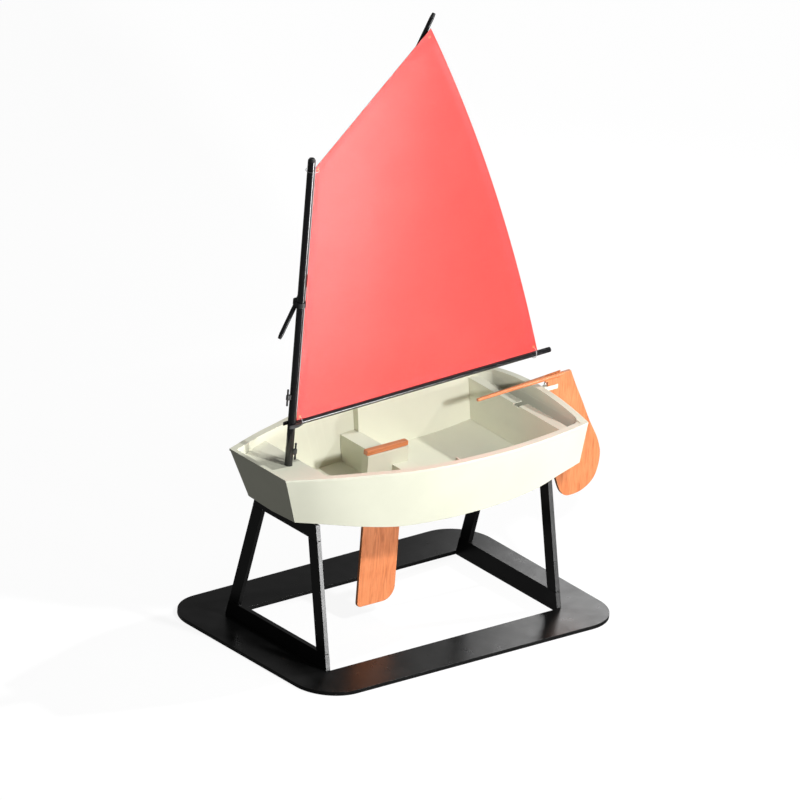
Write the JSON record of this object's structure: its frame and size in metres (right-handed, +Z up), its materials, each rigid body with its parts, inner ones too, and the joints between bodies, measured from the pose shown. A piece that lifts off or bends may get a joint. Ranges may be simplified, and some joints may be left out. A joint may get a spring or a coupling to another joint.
{
  "type": "rc sailboat",
  "caption": "Radio controlled pram dinghy with sprit rig, daggerboard and rudder, resting on a framed display stand.",
  "frame": {"origin": "centre of the overall box, at the stand's underside", "axes": "+X to the bow, +Y to port, +Z up"},
  "size_m": [0.6758, 0.392, 0.9925],
  "materials": {
    "gelcoat": "glossy cream moulding",
    "wood": "varnished",
    "spar": "gloss black",
    "sailcloth": "plain woven sailcloth",
    "steel": "bright wire and screws",
    "battery_wrap": "shrink wrap",
    "servo_horn": "moulded",
    "stand": "polished black sheet",
    "fittings": "moulded black"
  },
  "bodies": {
    "stand": {"base_plate": "stand", "bow_crossbar": "stand", "bow_leg_port": "stand", "bow_leg_starboard": "stand", "bow_pad_port": "fittings", "bow_pad_starboard": "fittings", "bow_sill": "stand", "frame_screw_bow_port": "steel", "frame_screw_bow_starboard": "steel", "frame_screw_stern_port": "steel", "frame_screw_stern_starboard": "steel", "stern_crossbar": "stand", "stern_leg_port": "stand", "stern_leg_starboard": "stand", "stern_pad_port": "fittings", "stern_pad_starboard": "fittings", "stern_sill": "stand"},
    "hull": {"aft_bulkhead": "gelcoat", "battery_pack": "battery_wrap", "cleat_lower": "fittings", "cleat_upper": "fittings", "aft_well_liner": "gelcoat", "cockpit_liner": "gelcoat", "daggerboard_case": "gelcoat", "gudgeon_lower": "fittings", "gudgeon_upper": "fittings", "hull_moulding": "gelcoat", "mast": "spar", "mast_cap": "fittings", "mast_step": "gelcoat", "mast_thwart": "gelcoat", "midship_knee_port": "gelcoat", "midship_knee_starboard": "gelcoat", "midship_thwart_port": "gelcoat", "midship_thwart_starboard": "gelcoat", "receiver": "fittings", "rudder_pin": "steel", "rudder_servo": "fittings", "sail_servo": "fittings", "switch_body": "fittings"},
    "rig": {"boom": "spar", "boom_plug": "fittings", "boom_jaws": "fittings", "sprit": "spar", "sprit_heel_plug": "fittings", "sprit_tip_plug": "fittings", "sprit_collar": "fittings", "sail": "sailcloth"},
    "board": {"daggerboard": "wood", "board_head": "wood"},
    "rudder": {"rudder_blade": "wood", "tiller": "wood", "tiller_dowel": "wood", "pintle_strap_upper": "gelcoat", "pintle_strap_lower": "gelcoat", "rudder_horn": "fittings"},
    "helm_arm": {"rudder_servo_arm": "servo_horn"},
    "pushrod": {"rudder_pushrod": "steel"},
    "sheet_arm": {"sail_servo_arm": "servo_horn"},
    "switch": {"switch_slider": "servo_horn"}
  },
  "joints": [
    {"name": "boat_lift", "type": "slide", "parent": "stand", "child": "hull", "axis": [0, 0, 1], "range_m": [0, 0.12]},
    {"name": "boom_swing", "type": "hinge", "parent": "hull", "child": "rig", "pos_m": [0.2736, 0, 0.3665], "axis": [0, 0, 1], "range_deg": [-80, 80]},
    {"name": "board_lift", "type": "slide", "parent": "hull", "child": "board", "axis": [0, 0, 1], "range_m": [0, 0.07]},
    {"name": "rudder_swing", "type": "hinge", "parent": "hull", "child": "rudder", "pos_m": [-0.2208, 0, 0.28], "axis": [0, 0, 1], "range_deg": [-35, 35]},
    {"name": "helm_arm_turn", "type": "hinge", "parent": "hull", "child": "helm_arm", "pos_m": [-0.1796, 0, 0.2616], "axis": [0, 0, 1], "range_deg": [-36, 36]},
    {"name": "pushrod_pivot", "type": "hinge", "parent": "helm_arm", "child": "pushrod", "pos_m": [-0.1796, -0.012, 0.264], "axis": [0, 0, 1], "range_deg": [-36, 36]},
    {"name": "sheet_arm_turn", "type": "hinge", "parent": "hull", "child": "sheet_arm", "pos_m": [0.0605, -0.08, 0.242], "axis": [0, 0, 1], "range_deg": [-40, 40]},
    {"name": "switch_slide", "type": "slide", "parent": "hull", "child": "switch", "axis": [0, 1, 0], "range_m": [0, 0.0065]}
  ],
  "couplings": [
    {"joint": "helm_arm_turn", "follows": "rudder_swing", "ratio": 1},
    {"joint": "pushrod_pivot", "follows": "rudder_swing", "ratio": -1}
  ]
}
